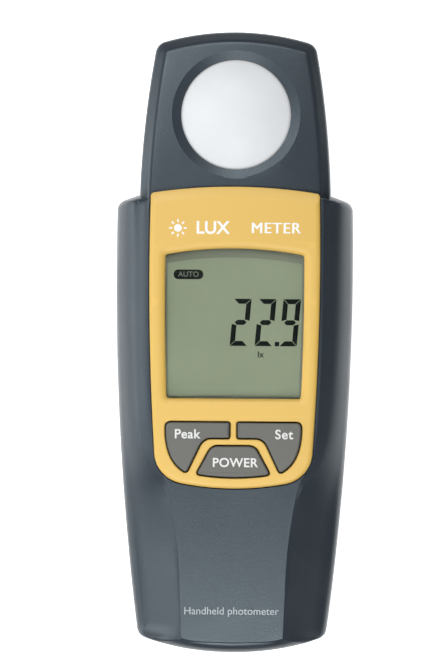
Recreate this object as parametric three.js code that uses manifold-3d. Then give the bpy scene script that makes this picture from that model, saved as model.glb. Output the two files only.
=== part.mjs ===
// Handheld light meter lying on its back: +Y points to the sensor end, +X to the right of the
// display and +Z out of the display. The origin is under the middle of the case. Millimetres.
import * as THREE from 'three';
import { ConvexGeometry } from 'three/addons/geometries/ConvexGeometry.js';
import { mergeVertices } from 'three/addons/utils/BufferGeometryUtils.js';
import Module from 'manifold-3d';

const wasm = await Module();
wasm.setup();

// ---------------------------------------------------------------- driving dimensions
const GAP = 0.3;                 // clearance between neighbouring pieces
const WALL = 2.0;                // case wall
const PARTING_Z = 12.0;          // plane where the two case halves meet
const FRONT_Z = 25.0;            // face of the raised panel and of the grip
const HEAD_Z = 24.6;             // face of the sensor head
const CREASE_Z = 23.2;           // crease between the raised panel and the flanks
const BACK_SKIN = 1.8;           // thickness of the back

const DOME_Y = 59.8;             // centre of the light diffuser
const DOME_RADIUS = 14.2;
const DOME_TOP = 27.8;
const RING_RADIUS = 17.1;        // outer edge of the countersink round the diffuser
const RING_FLOOR = 22.9;

const RECESS_FLOOR = 23.8;       // floor of the faceplate's recess
const BEZEL_BOTTOM = 24.1;
const BEZEL_TOP = 25.4;
const KEY_TOP = 26.0;
const KEY_BOTTOM = 19.0;
const KEY_TRAVEL = 1.0;
const KEY_FLANGE = 0.8;          // how far a key's foot reaches past its cap

const BOARD_BOTTOM = 15.0;       // main circuit board
const BOARD_TOP = 16.6;

const CELL_RADIUS = 5.25;        // AAA cells
const CELL_LENGTH = 44.5;
const CELL_PITCH = 10.9;
const CELL_Z = 7.35;
const CELL_LOW_Y = -73;
const BAY_HALF = 18.8;           // inside half-width of the battery bay
const BAY_LOW_Y = -75.0;
const BAY_HIGH_Y = -26.5;
const BAY_ROOF = 12.9;

const DOOR_HALF = 16.7;
const DOOR_END_HALF = 18.5;
const DOOR_TOP_Y = -28.3;
const DOOR_END_Z = 8.5;

// Outlines with curved sides, top and bottom. Every side arc of the body shares one centre.
const SIDE_RADIUS = 737;
const BODY = {
  halfWidth: 30.7, sideRadius: SIDE_RADIUS, sideY: 20,
  topY: 42.5, topRadius: 79.6, topCorner: 2.8,
  bottomY: -81, bottomRadius: 77, bottomCorner: 3,
};
const HEAD = {
  halfWidth: 24.76, sideRadius: 258, sideY: 30.9,
  topY: 81, topRadius: 68, topCorner: 3.5,
  bottomY: 30, bottomRadius: 900, bottomCorner: 1,
};
const BEZEL = {
  halfWidth: 22.35, sideRadius: SIDE_RADIUS - 8.35, sideY: 20,
  topY: 40.9, topRadius: 108, topCorner: 1,
  bottomY: -38.1, bottomRadius: 73, bottomCorner: 8.5,
};
const PANEL = {
  halfWidth: 25.5, sideRadius: SIDE_RADIUS - 5.2, sideY: 20,
  topY: 36.9, topRadius: 600, topCorner: 1.3,
  bottomY: -41.2, bottomRadius: 76, bottomCorner: 11.6,
};
const PANEL_FACE = { ...PANEL, halfWidth: 22.9, sideRadius: SIDE_RADIUS - 7.8, topY: 37.6,
  bottomY: -39, bottomRadius: 74, bottomCorner: 9.2 };
const WINDOW = {
  halfWidth: 18.3, sideRadius: SIDE_RADIUS - 12.4, sideY: 15,
  topY: 25, topRadius: 97, topCorner: 0.8,
  bottomY: -14.7, bottomRadius: 3000, bottomCorner: 0.8,
};

// Height and inset pairs that round the case from its back to its face.
const BACK_ROUND = [[0, 2.6], [0.8, 1.0], [3.2, 0]];
const BODY_LEVELS = [...BACK_ROUND, [14, 0], [18.5, 1.1], [21.5, 2.9], [CREASE_Z, 5.2]];
const HEAD_LEVELS = [...BACK_ROUND, [20.8, 0], [22.3, 0.6], [HEAD_Z, 2.5]];
const CAVITY_BACK = [[BACK_SKIN, 4.2], [4, WALL]];
const BODY_CAVITY = [...CAVITY_BACK, [14, WALL], [19, 3.6], [22, 7.4]];
const HEAD_CAVITY = [...CAVITY_BACK, [19.5, WALL], [22.2, 4.4]];
const GRIP_CAVITY = [...CAVITY_BACK, [13, WALL], [17.5, 6.6], [22.8, 14]];

// ---------------------------------------------------------------- solids
function toSolid(geometry) {
  const bare = geometry.clone();
  for (const name of ['normal', 'uv']) {
    bare.deleteAttribute(name);
  }
  const merged = mergeVertices(bare, 1e-4);
  return new wasm.Manifold(new wasm.Mesh({
    numProp: 3,
    vertProperties: new Float32Array(merged.attributes.position.array),
    triVerts: new Uint32Array(merged.index.array),
  }));
}

function toGeometry(solid) {
  const mesh = solid.getMesh();
  const geometry = new THREE.BufferGeometry();
  geometry.setAttribute('position', new THREE.BufferAttribute(mesh.vertProperties, 3));
  geometry.setIndex(new THREE.BufferAttribute(mesh.triVerts, 1));
  geometry.computeVertexNormals();
  return geometry;
}

function box(x0, x1, y0, y1, z0, z1) {
  const geometry = new THREE.BoxGeometry(x1 - x0, y1 - y0, z1 - z0);
  geometry.translate((x0 + x1) / 2, (y0 + y1) / 2, (z0 + z1) / 2);
  return toSolid(geometry);
}

function cylinder(x, y, z0, z1, radius, segments = 16) {
  const geometry = new THREE.CylinderGeometry(radius, radius, z1 - z0, segments);
  geometry.rotateX(Math.PI / 2);
  geometry.translate(x, y, (z0 + z1) / 2);
  return toSolid(geometry);
}

// Solid of revolution about +Z from [radius, height] pairs listed from the top down.
function turned(profile, x, y, segments = 28) {
  const points = profile.map(([r, z]) => new THREE.Vector2(r, z)).reverse();
  const geometry = new THREE.LatheGeometry(points, segments);
  geometry.rotateX(Math.PI / 2);
  geometry.translate(x, y, 0);
  return toSolid(geometry);
}

function prism(shape, z0, z1, grow = 0) {
  const skin = 0.01;
  const options = { depth: z1 - z0, bevelEnabled: false, curveSegments: 4 };
  const grown = { ...options, depth: z1 - z0 - 2 * skin, bevelEnabled: true, bevelSegments: 1,
    bevelThickness: skin, bevelSize: 0, bevelOffset: grow };
  const geometry = new THREE.ExtrudeGeometry(shape, grow === 0 ? options : grown);
  geometry.translate(0, 0, grow === 0 ? z0 : z0 + skin);
  return toSolid(geometry);
}

// Prism whose top and bottom edges are rounded by `round`.
function softPrism(shape, z0, z1, round) {
  const geometry = new THREE.ExtrudeGeometry(shape, {
    depth: z1 - z0 - 2 * round, bevelEnabled: true, bevelSegments: 1,
    bevelThickness: round, bevelSize: round, bevelOffset: -round, curveSegments: 4,
  });
  geometry.translate(0, 0, z0 + round);
  return toSolid(geometry);
}

function joined(first, ...rest) {
  return rest.reduce((sum, next) => sum.add(next), first);
}

function without(first, ...rest) {
  return rest.reduce((left, next) => left.subtract(next), first);
}

// ---------------------------------------------------------------- curved outlines
// Centre of the circle of radius `r` that touches two larger circles from inside.
function cornerCentre(a, b, r, up) {
  const ra = a.r - r;
  const rb = b.r - r;
  const dx = b.x - a.x;
  const dy = b.y - a.y;
  const d = Math.hypot(dx, dy);
  const along = (ra * ra - rb * rb + d * d) / (2 * d);
  const across = Math.sqrt(ra * ra - along * along);
  const candidates = [1, -1].map((sign) => ({
    x: a.x + (along * dx - sign * across * dy) / d,
    y: a.y + (along * dy + sign * across * dx) / d,
  }));
  candidates.sort((p, q) => up * (q.y - p.y));
  return candidates[0].x > 0 ? candidates[0] : candidates[1];
}

function arcPoints(circle, from, to, steps) {
  return Array.from({ length: steps + 1 }, (unused, i) => {
    const angle = from + (to - from) * i / steps;
    return new THREE.Vector2(circle.x + circle.r * Math.cos(angle), circle.y + circle.r * Math.sin(angle));
  });
}

// The whole outline of a form, moved inwards by `inset`.
function outline(form, inset = 0) {
  const side = { x: form.halfWidth - form.sideRadius, y: form.sideY, r: form.sideRadius - inset };
  const top = { x: 0, y: form.topY - form.topRadius, r: form.topRadius - inset };
  const bottom = { x: 0, y: form.bottomY + form.bottomRadius, r: form.bottomRadius - inset };
  const topRadius = Math.max(form.topCorner - inset, 0.4);
  const bottomRadius = Math.max(form.bottomCorner - inset, 0.4);
  const upper = { ...cornerCentre(side, top, topRadius, 1), r: topRadius };
  const lower = { ...cornerCentre(side, bottom, bottomRadius, -1), r: bottomRadius };
  const angle = (corner, circle) => Math.atan2(corner.y - circle.y, corner.x - circle.x);
  const right = [
    ...arcPoints(top, Math.PI / 2, angle(upper, top), 3),
    ...arcPoints(upper, angle(upper, top), angle(upper, side), 3).slice(1),
    ...arcPoints(side, angle(upper, side), angle(lower, side), 4).slice(1),
    ...arcPoints(lower, angle(lower, side), angle(lower, bottom), 3).slice(1),
    ...arcPoints(bottom, angle(lower, bottom), -Math.PI / 2, 3).slice(1),
  ];
  const left = right.slice(1, -1).reverse().map((p) => new THREE.Vector2(-p.x, p.y));
  return [...right, ...left];
}

function ring(form, z, inset) {
  return outline(form, inset).map((p) => new THREE.Vector3(p.x, p.y, z));
}

function rings(form, levels) {
  return levels.flatMap(([z, inset]) => ring(form, z, inset));
}

function hull(points) {
  return toSolid(new ConvexGeometry(points));
}

function formShape(form, inset = 0) {
  return new THREE.Shape(outline(form, inset));
}

// ---------------------------------------------------------------- key outlines
// The two upper keys are mirror images: a bar that curves down into a tapering leg.
function legKeyShape(side) {
  const at = (x, y) => [side * x, y];
  const shape = new THREE.Shape();
  shape.moveTo(...at(1.75, -20.9));
  shape.lineTo(...at(16.4, -20.9));
  shape.quadraticCurveTo(...at(17.9, -20.9), ...at(17.9, -22.4));
  shape.bezierCurveTo(...at(17.9, -28), ...at(16.2, -31.6), ...at(13, -33.6));
  shape.quadraticCurveTo(...at(12.1, -34.1), ...at(11.6, -33));
  shape.lineTo(...at(9, -27.5));
  shape.quadraticCurveTo(...at(8, -25), ...at(5.7, -25));
  shape.lineTo(...at(1.75, -25));
  shape.quadraticCurveTo(...at(1.05, -25), ...at(1.05, -24.3));
  shape.lineTo(...at(1.05, -21.6));
  shape.quadraticCurveTo(...at(1.05, -20.9), ...at(1.75, -20.9));
  return shape;
}

function powerKeyShape() {
  const shape = new THREE.Shape();
  shape.moveTo(-3.9, -27.06);
  shape.lineTo(3.9, -27.06);
  shape.quadraticCurveTo(5.7, -27.06, 6.5, -28.7);
  shape.lineTo(9.15, -33.6);
  shape.quadraticCurveTo(9.5, -34.4, 8.7, -34.5);
  shape.quadraticCurveTo(0, -35.9, -8.7, -34.5);
  shape.quadraticCurveTo(-9.5, -34.4, -9.15, -33.6);
  shape.lineTo(-6.5, -28.7);
  shape.quadraticCurveTo(-5.7, -27.06, -3.9, -27.06);
  return shape;
}

const KEYS = [
  { name: 'key_unit', shape: legKeyShape(-1), pill: [-11.5, -25.5] },
  { name: 'key_func', shape: legKeyShape(1), pill: [11.5, -25.5] },
  { name: 'key_power', shape: powerKeyShape(), pill: [0, -31] },
];

// ---------------------------------------------------------------- the case
const CASE_SCREWS = [[-17.2, 74.4], [17.2, 74.4], [-22, -69.5], [22, -69.5]];
const BOARD_SCREWS = [[-24, 29.5], [24, 29.5], [-24, -15.5], [24, -15.5]];
const SENSOR_SCREWS = [[-15.8, 44.6], [15.8, 44.6]];

// Wedge that slopes the grip's side away from its raised middle, and dies out towards the keys.
function gripCut(side) {
  const low = [
    [15.6, -44, FRONT_Z], [13.2, -85, FRONT_Z], [33, -44, 12.4], [33, -85, 10.8],
    [21.8, -32, FRONT_Z], [33, -32, 20.5],
  ];
  const points = low.flatMap(([x, y, z]) => [
    new THREE.Vector3(side * x, y, z),
    new THREE.Vector3(side * x, y, 40),
  ]);
  return hull(points);
}

function gripMiddle() {
  const corners = [[15.6, -36, FRONT_Z], [13.4, -76.6, FRONT_Z], [15.6, -36, 16]];
  const lip = [[13.4, -78.3, 24.1], [13, -79.4, 22], [12.6, -79.8, 16]];
  const points = [...corners, ...lip].flatMap(([x, y, z]) => [
    new THREE.Vector3(x, y, z),
    new THREE.Vector3(-x, y, z),
  ]);
  return hull(points);
}

const bodyOuter = hull([...rings(BODY, BODY_LEVELS), ...ring(PANEL, CREASE_Z, 0)]);
const panelOuter = hull([...ring(PANEL, 20, 0), ...ring(PANEL, CREASE_Z, 0), ...ring(PANEL_FACE, FRONT_Z, 0)]);
const headOuter = hull(rings(HEAD, HEAD_LEVELS));
const caseOuter = without(joined(bodyOuter, panelOuter, gripMiddle()), gripCut(1), gripCut(-1))
  .add(headOuter);

const upperHalf = box(-40, 40, -38.5, 90, -1, 40);
const lowerHalf = box(-40, 40, -90, -38, -1, 40);
const caseInner = joined(
  hull(rings(BODY, BODY_CAVITY)).intersect(upperHalf),
  hull(rings(BODY, GRIP_CAVITY)).intersect(lowerHalf),
  hull(rings(HEAD, HEAD_CAVITY)),
);

function frontCase() {
  const above = box(-40, 40, -90, 90, PARTING_Z + GAP / 2, 40);
  const below = box(-40, 40, -90, 90, -5, PARTING_Z + GAP / 2);
  let shell = caseOuter.intersect(above).subtract(caseInner);
  shell = shell.add(cylinder(0, DOME_Y, 14.2, 22.6, 19, 32));
  for (const [x, y] of CASE_SCREWS) {
    const post = cylinder(x, y, PARTING_Z + GAP / 2, 21.5, 3).intersect(caseOuter);
    shell = shell.add(post).subtract(cylinder(x, y, PARTING_Z, 18.2, 1.5, 10));
  }
  for (const [x, y] of BOARD_SCREWS) {
    const post = cylinder(x, y, BOARD_TOP + GAP, 23, 2).intersect(caseOuter);
    shell = shell.add(post).subtract(cylinder(x, y, BOARD_TOP, 21, 1.2, 8));
  }
  for (const [x, y] of SENSOR_SCREWS) {
    const post = cylinder(x, y, 14.2, 23, 2.6);
    shell = shell.add(post).subtract(cylinder(x, y, 14, 19.5, 1.2, 8));
  }
  const sensorHole = turned([
    [0, 30], [17.7, 30], [RING_RADIUS, HEAD_Z], [14.5, RING_FLOOR], [14.5, 21.2],
    [16.7, 21.2], [16.7, 13], [0, 13],
  ], 0, DOME_Y, 36);
  shell = without(
    shell,
    sensorHole,
    prism(formShape(BEZEL), RECESS_FLOOR, 40, GAP),
    prism(formShape(WINDOW), 15, 40, 2),
    box(-22.2, 22.2, -18.9, 29.9, 15, 22.8),
    below,
  );
  for (const key of KEYS) {
    shell = shell.subtract(prism(key.shape, 15, 40, GAP));
  }
  return shell;
}

function rearCase() {
  const under = box(-40, 40, -90, 90, -1, PARTING_Z - GAP / 2);
  let shell = caseOuter.intersect(under).subtract(caseInner);
  const bay = without(
    box(-BAY_HALF - 1.2, BAY_HALF + 1.2, BAY_LOW_Y - 1, BAY_HIGH_Y + 1, BACK_SKIN - 0.5, BAY_ROOF + 1.2),
    box(-BAY_HALF, BAY_HALF, BAY_LOW_Y, BAY_HIGH_Y, BACK_SKIN, BAY_ROOF),
    box(-BAY_HALF, BAY_HALF, BAY_LOW_Y - 2, BAY_LOW_Y + 1, BACK_SKIN, 3.6),
    box(-CELL_PITCH - 1.2, -CELL_PITCH + 1.2, BAY_HIGH_Y - 2, BAY_HIGH_Y + 2, 10.4, 20),
    box(BAY_HALF - 2.4, BAY_HALF, BAY_HIGH_Y - 2, BAY_HIGH_Y + 2, 10.4, 20),
    box(-40, 40, -80, 0, -5, BACK_SKIN - 0.2),
  );
  const bayRoom = under.intersect(caseOuter)
    .add(hull(rings(BODY, [[PARTING_Z - 1, 2.5], [13, 2.5], [15, 4.6]])));
  shell = shell.add(bay.intersect(bayRoom));
  for (const [x, y] of CASE_SCREWS) {
    const post = cylinder(x, y, 1, PARTING_Z - GAP / 2, 3.3).intersect(caseOuter);
    shell = without(
      shell.add(post),
      cylinder(x, y, -1, 7, 2.6),
      cylinder(x, y, 6, PARTING_Z, 1.5, 10),
      cylinder(x, y, PARTING_Z - GAP / 2, 16, 3.3),
    );
  }
  return without(
    shell,
    box(-DOOR_HALF - GAP, DOOR_HALF + GAP, -90, DOOR_TOP_Y + GAP, -1, BACK_SKIN + 0.1),
    box(-DOOR_END_HALF - GAP, DOOR_END_HALF + GAP, -90, BAY_LOW_Y - 1, -1, DOOR_END_Z + GAP),
    box(-BAY_HALF, BAY_HALF, BAY_LOW_Y - 2, BAY_LOW_Y + 3, BACK_SKIN, 3.6),
    box(-17.3, 17.3, -10.3, 20.3, -1, 0.8),
  );
}

function batteryDoor() {
  const strip = box(-DOOR_HALF, DOOR_HALF, -90, DOOR_TOP_Y, -1, 40);
  const endBlock = box(-DOOR_END_HALF, DOOR_END_HALF, -90, BAY_LOW_Y - 2.2, -1, DOOR_END_Z);
  const plate = caseOuter.intersect(strip).intersect(box(-40, 40, -90, 0, -1, 1.6));
  const end = caseOuter.intersect(endBlock).subtract(hull(rings(BODY, [[1.6, 2.2], [14, 2.2]])));
  let door = plate.add(end);
  for (const side of [-1, 1]) {
    const web = side < 0 ? [-DOOR_HALF, -15.3] : [15.3, DOOR_HALF];
    const rail = side < 0 ? [-18.4, -15.3] : [15.3, 18.4];
    door = door.add(box(web[0], web[1], -73.4, -33, 1.2, 3.2));
    door = door.add(box(rail[0], rail[1], -73.4, -33, BACK_SKIN + GAP, 3.2));
  }
  door = door.add(box(-1.6, 1.6, -32, DOOR_TOP_Y, 1.2, 2.9).intersect(box(-1, 1, -32, 0, 0, 1.95)));
  door = door.add(box(-16, 16, -28.9, DOOR_TOP_Y, 1.2, 1.6));
  for (let i = 0; i < 5; i += 1) {
    const y = -38 - 2.2 * i;
    door = door.subtract(box(-7, 7, y - 0.5, y + 0.5, -1, 0.5));
  }
  return door;
}

// ---------------------------------------------------------------- fastenings
function screw(x, y, seat, headRadius, headHeight, shankRadius, length) {
  const body = turned([
    [0, seat + length], [shankRadius, seat + length - 1.6],
    [shankRadius, seat], [headRadius, seat], [headRadius, seat - headHeight * 0.6],
    [headRadius * 0.7, seat - headHeight], [0, seat - headHeight],
  ], x, y, 10);
  const slot = headRadius * 0.55;
  const width = headRadius * 0.13;
  const depth = seat - headHeight * 0.45;
  const low = seat - headHeight - 1;
  return without(
    body,
    box(x - slot, x + slot, y - width, y + width, low, depth),
    box(x - width, x + width, y - slot, y + slot, low, depth),
  );
}

// ---------------------------------------------------------------- light sensor
function sensorDome() {
  const height = DOME_TOP - RING_FLOOR;
  const sphere = (DOME_RADIUS ** 2 + height ** 2) / (2 * height);
  const steps = 4;
  const widest = Math.asin(DOME_RADIUS / sphere);
  const outer = Array.from({ length: steps + 1 }, (unused, i) => {
    const angle = widest * i / steps;
    return [sphere * Math.sin(angle), DOME_TOP - sphere + sphere * Math.cos(angle)];
  });
  const inner = outer.map(([r, z]) => [r * 0.86, z - 2]).reverse();
  return turned([...outer, [DOME_RADIUS, 20.9], [16.3, 20.9], [16.3, 19.5], [inner[0][0], 19.5], ...inner],
    0, DOME_Y, 36);
}

function sensorHolder() {
  return turned([
    [8.6, 18.3], [16.3, 18.3], [16.3, 14.4], [6.2, 14.4], [6.2, 16.2], [8.6, 16.2], [8.6, 18.3],
  ], 0, DOME_Y, 28);
}

function sensorBoard() {
  const board = joined(
    cylinder(0, DOME_Y, 12.2, 13.8, 17.2, 28),
    box(-18.6, 18.6, 41.6, 56, 12.2, 13.8),
  );
  return without(board, ...SENSOR_SCREWS.map(([x, y]) => cylinder(x, y, 12, 14, 1.4, 12)));
}

// ---------------------------------------------------------------- display and electronics
function mainBoard() {
  const shape = new THREE.Shape();
  shape.moveTo(-26.4, 33);
  shape.lineTo(26.4, 33);
  shape.lineTo(26.4, -18.5);
  shape.lineTo(23, -24);
  shape.lineTo(20, -37);
  shape.lineTo(-20, -37);
  shape.lineTo(-23, -24);
  shape.lineTo(-26.4, -18.5);
  shape.closePath();
  const board = prism(shape, BOARD_BOTTOM, BOARD_TOP);
  return without(board, ...BOARD_SCREWS.map(([x, y]) => cylinder(x, y, 14, 18, 1.4, 12)));
}

function lcdFrame() {
  return without(
    box(-21.7, 21.7, -18.4, 29.4, BOARD_TOP + GAP, 22.5),
    box(-20.3, 20.3, -17.0, 28.0, 20, 23),
    box(-19, 19, -16.4, 27.4, 16, 23),
  );
}

function keypadMat() {
  const shape = new THREE.Shape();
  shape.moveTo(-21, -19.6);
  shape.lineTo(21, -19.6);
  shape.lineTo(19, -36.2);
  shape.lineTo(-19, -36.2);
  shape.closePath();
  const mat = prism(shape, BOARD_TOP + GAP, BOARD_TOP + GAP + 0.8);
  return without(mat, ...KEYS.map((key) => cylinder(...key.pill, 16, 19, 3)));
}

function keyCap(key) {
  return joined(
    softPrism(key.shape, KEY_BOTTOM + 0.5, KEY_TOP, 0.25),
    prism(key.shape, KEY_BOTTOM, 22 - GAP, KEY_FLANGE),
  );
}

function chip(x, y, halfX, halfY, height, pins) {
  const top = BOARD_BOTTOM - GAP;
  let body = box(x - halfX, x + halfX, y - halfY, y + halfY, top - height, top);
  const pitch = 2 * halfY / pins;
  for (let i = 0; i < pins; i += 1) {
    const pinY = y - halfY + pitch * (i + 0.5);
    body = body.add(box(x - halfX - 1, x + halfX + 1, pinY - 0.2, pinY + 0.2, top - 0.5, top));
  }
  return body;
}

// Flat cable that steps up from under the sensor board to under the main board.
function sensorRibbon() {
  const low = 11.6;
  const high = BOARD_BOTTOM - GAP - 0.3;
  const shape = new THREE.Shape();
  shape.moveTo(26, high);
  shape.lineTo(33, high);
  shape.bezierCurveTo(37, high, 37, low, 41, low);
  shape.lineTo(48, low);
  shape.lineTo(48, low + 0.3);
  shape.lineTo(41, low + 0.3);
  shape.bezierCurveTo(37.2, low + 0.3, 37.2, high + 0.3, 33, high + 0.3);
  shape.lineTo(26, high + 0.3);
  shape.closePath();
  const geometry = new THREE.ExtrudeGeometry(shape, { depth: 8, bevelEnabled: false, curveSegments: 8 });
  geometry.rotateZ(Math.PI / 2);
  geometry.rotateY(Math.PI / 2);
  geometry.translate(-4, 0, 0);
  return toSolid(geometry);
}

function wire(points, radius) {
  const curve = new THREE.CatmullRomCurve3(points.map((p) => new THREE.Vector3(...p)));
  const section = new THREE.Shape();
  section.absarc(0, 0, radius, 0, 2 * Math.PI);
  const steps = Math.max(10, Math.round(curve.getLength() / 3.6));
  return toSolid(new THREE.ExtrudeGeometry(section, { steps, extrudePath: curve, curveSegments: 3 }));
}

// ---------------------------------------------------------------- battery
function cell(x, tip) {
  const body = [
    [0, CELL_LENGTH], [1.9, CELL_LENGTH], [1.9, CELL_LENGTH - 1], [4.7, CELL_LENGTH - 1],
    [CELL_RADIUS, CELL_LENGTH - 1.5], [CELL_RADIUS, 0.5], [4.7, 0], [0, 0],
  ];
  const points = body.map(([r, y]) => new THREE.Vector2(r, y)).reverse();
  const geometry = new THREE.LatheGeometry(points, 20);
  if (tip < 0) {
    geometry.rotateX(Math.PI);
    geometry.translate(0, CELL_LENGTH, 0);
  }
  geometry.translate(x, CELL_LOW_Y, CELL_Z);
  return toSolid(geometry);
}

// Sheet contact that stands against an end wall of the bay, with one bowed tongue for each cell.
function contact(xs, wallY, inward) {
  const back = [Math.min(wallY, wallY + inward * 0.4), Math.max(wallY, wallY + inward * 0.4)];
  let sheet = box(Math.min(...xs) - 3.6, Math.max(...xs) + 3.6, back[0], back[1], 4.4, 10.6);
  for (const x of xs) {
    const tongue = new THREE.Shape();
    tongue.moveTo(-2.4, 0);
    tongue.quadraticCurveTo(0, 2.2, 2.4, 0);
    tongue.closePath();
    const geometry = new THREE.ExtrudeGeometry(tongue, { depth: 3, bevelEnabled: false, curveSegments: 6 });
    if (inward < 0) {
      geometry.rotateZ(Math.PI);
    }
    geometry.translate(x, wallY + inward * 0.3, CELL_Z - 1.5);
    sheet = sheet.add(toSolid(geometry));
  }
  return sheet;
}

// ---------------------------------------------------------------- assembly
const COLOURS = {
  case: [0x666c70, 0.55, 0], amber: [0xeecb6e, 0.4, 0], clear: [0xdfe6e6, 0.08, 0],
  diffuser: [0xeff1f4, 0.45, 0], key: [0x777979, 0.6, 0], black: [0x1c1d1f, 0.6, 0],
  lcd: [0x8e9880, 0.2, 0], board: [0x1f5a3a, 0.5, 0], steel: [0xb9bcbf, 0.3, 1],
  zinc: [0xc8cacc, 0.4, 1], sleeve: [0x2c3f6b, 0.35, 0], filter: [0x4f7f62, 0.1, 0],
  carbon: [0x151515, 0.8, 0], rubber: [0x8b8d8e, 0.8, 0], label: [0xc9ccce, 0.5, 0],
  blue: [0x2d5fa8, 0.4, 0], red: [0xa82a22, 0.5, 0], ribbon: [0xd9d4c4, 0.5, 0],
};

const meter = new THREE.Group();

function addPiece(name, solid, finish) {
  const [color, roughness, metalness] = COLOURS[finish];
  const material = new THREE.MeshStandardMaterial({ color, roughness, metalness });
  const mesh = new THREE.Mesh(toGeometry(solid), material);
  mesh.name = name;
  meter.add(mesh);
}

addPiece('front_case', frontCase(), 'case');
addPiece('rear_case', rearCase(), 'case');
addPiece('battery_door', batteryDoor(), 'case');

let bezel = softPrism(formShape(BEZEL), BEZEL_BOTTOM, BEZEL_TOP, 0.25);
bezel = bezel.subtract(prism(formShape(WINDOW), 20, 30));
for (const key of KEYS) {
  bezel = bezel.subtract(prism(key.shape, 20, 30, GAP));
}
addPiece('front_bezel', bezel, 'amber');
addPiece('display_window', prism(formShape(WINDOW), 22.8, RECESS_FLOOR, 1.6), 'clear');
addPiece('rear_label', box(-17, 17, -10, 20, 0.1, 0.5), 'label');

addPiece('sensor_dome', sensorDome(), 'diffuser');
addPiece('dome_seal', turned([[13, 19.2], [16.3, 19.2], [16.3, 18.6], [13, 18.6], [13, 19.2]], 0, DOME_Y, 28),
  'black');
addPiece('sensor_holder', sensorHolder(), 'black');
addPiece('photopic_filter', cylinder(0, DOME_Y, 16.5, 18.1, 8.2, 24), 'filter');
addPiece('photodiode', cylinder(0, DOME_Y, 14.1, 16, 5.4, 20), 'steel');
addPiece('sensor_board', sensorBoard(), 'board');
addPiece('sensor_ribbon', sensorRibbon(), 'ribbon');

addPiece('main_board', mainBoard(), 'board');
addPiece('lcd_glass', box(-20, 20, -16.7, 27.7, 20.3, 22.5), 'lcd');
addPiece('lcd_frame', lcdFrame(), 'black');
addPiece('zebra_strip_upper', box(-17.5, 17.5, 24.6, 26.8, BOARD_TOP + GAP, 20), 'rubber');
addPiece('zebra_strip_lower', box(-17.5, 17.5, -15.8, -13.6, BOARD_TOP + GAP, 20), 'rubber');
addPiece('keypad_mat', keypadMat(), 'rubber');
addPiece('controller_chip', chip(-4, 8, 7, 7, 1.9, 5), 'black');
addPiece('amplifier_chip', chip(16, 21, 2, 2.6, 1.5, 4), 'black');
addPiece('quartz_crystal', box(-20, -9.5, 19, 23, 11.4, BOARD_BOTTOM - GAP), 'steel');
addPiece('smoothing_capacitor', cylinder(17, -6, 7.4, BOARD_BOTTOM - GAP, 3.2, 20), 'black');
addPiece('calibration_trimmer', without(
  box(9.6, 16.4, 8.6, 15.4, 10.2, BOARD_BOTTOM - GAP),
  box(10.6, 15.4, 11.6, 12.4, 9, 11),
), 'blue');

for (const key of KEYS) {
  addPiece(key.name, keyCap(key), 'key');
  addPiece(`contact_pill_${key.name.slice(4)}`,
    cylinder(...key.pill, KEY_BOTTOM - GAP - 0.8, KEY_BOTTOM - GAP, 2.2), 'carbon');
}

const corners = ['upper_left', 'upper_right', 'lower_left', 'lower_right'];
CASE_SCREWS.forEach(([x, y], i) => {
  addPiece(`case_screw_${corners[i]}`, screw(x, y, 7 - GAP, 2.2, 1.8, 1.2, 10.5), 'zinc');
});
BOARD_SCREWS.forEach(([x, y], i) => {
  addPiece(`board_screw_${corners[i]}`, screw(x, y, BOARD_BOTTOM - GAP, 1.9, 1.3, 0.9, 5.4), 'zinc');
});
SENSOR_SCREWS.forEach(([x, y], i) => {
  addPiece(`sensor_screw_${['left', 'right'][i]}`, screw(x, y, 12.2 - GAP, 1.9, 1.3, 0.9, 6.6), 'zinc');
});

addPiece('battery_cell_left', cell(-CELL_PITCH, 1), 'sleeve');
addPiece('battery_cell_middle', cell(0, -1), 'sleeve');
addPiece('battery_cell_right', cell(CELL_PITCH, 1), 'sleeve');
const lowWall = BAY_LOW_Y + GAP;
const highWall = BAY_HIGH_Y - GAP;
addPiece('battery_contact_lower_pair', contact([-CELL_PITCH, 0], lowWall, 1), 'steel');
addPiece('battery_contact_lower_single', contact([CELL_PITCH], lowWall, 1), 'steel');
addPiece('battery_contact_upper_single', contact([-CELL_PITCH], highWall, -1), 'steel');
addPiece('battery_contact_upper_pair', contact([0, CELL_PITCH], highWall, -1), 'steel');

addPiece('battery_lead_red', wire([
  [-CELL_PITCH, BAY_HIGH_Y - 0.6, 11.5], [-CELL_PITCH, BAY_HIGH_Y - 0.4, 13.3],
  [-CELL_PITCH - 1, BAY_HIGH_Y + 3, 13.8], [-13.5, -19, 13.9],
], 0.6), 'red');
addPiece('battery_lead_black', wire([
  [CELL_PITCH + 4.6, BAY_LOW_Y + 1.2, 9.8], [BAY_HALF - 1.5, BAY_LOW_Y + 3, 10.6],
  [BAY_HALF - 1.3, -60, 11.2], [BAY_HALF - 1.3, -40, 11.4], [BAY_HALF - 1.3, BAY_HIGH_Y - 1.5, 11.7],
  [BAY_HALF - 1.6, BAY_HIGH_Y + 2.5, 13], [15, -19, 13.9],
], 0.6), 'black');

export default meter;
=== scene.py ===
# Looks of a handheld light meter that lies on its back: +Y to the sensor end, +Z out of the display.
# Lengths are millimetres until mesh_from, soft_plate and lettering turn them into metres.
import math

import bmesh
import bpy
from mathutils import Matrix, Vector


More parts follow.
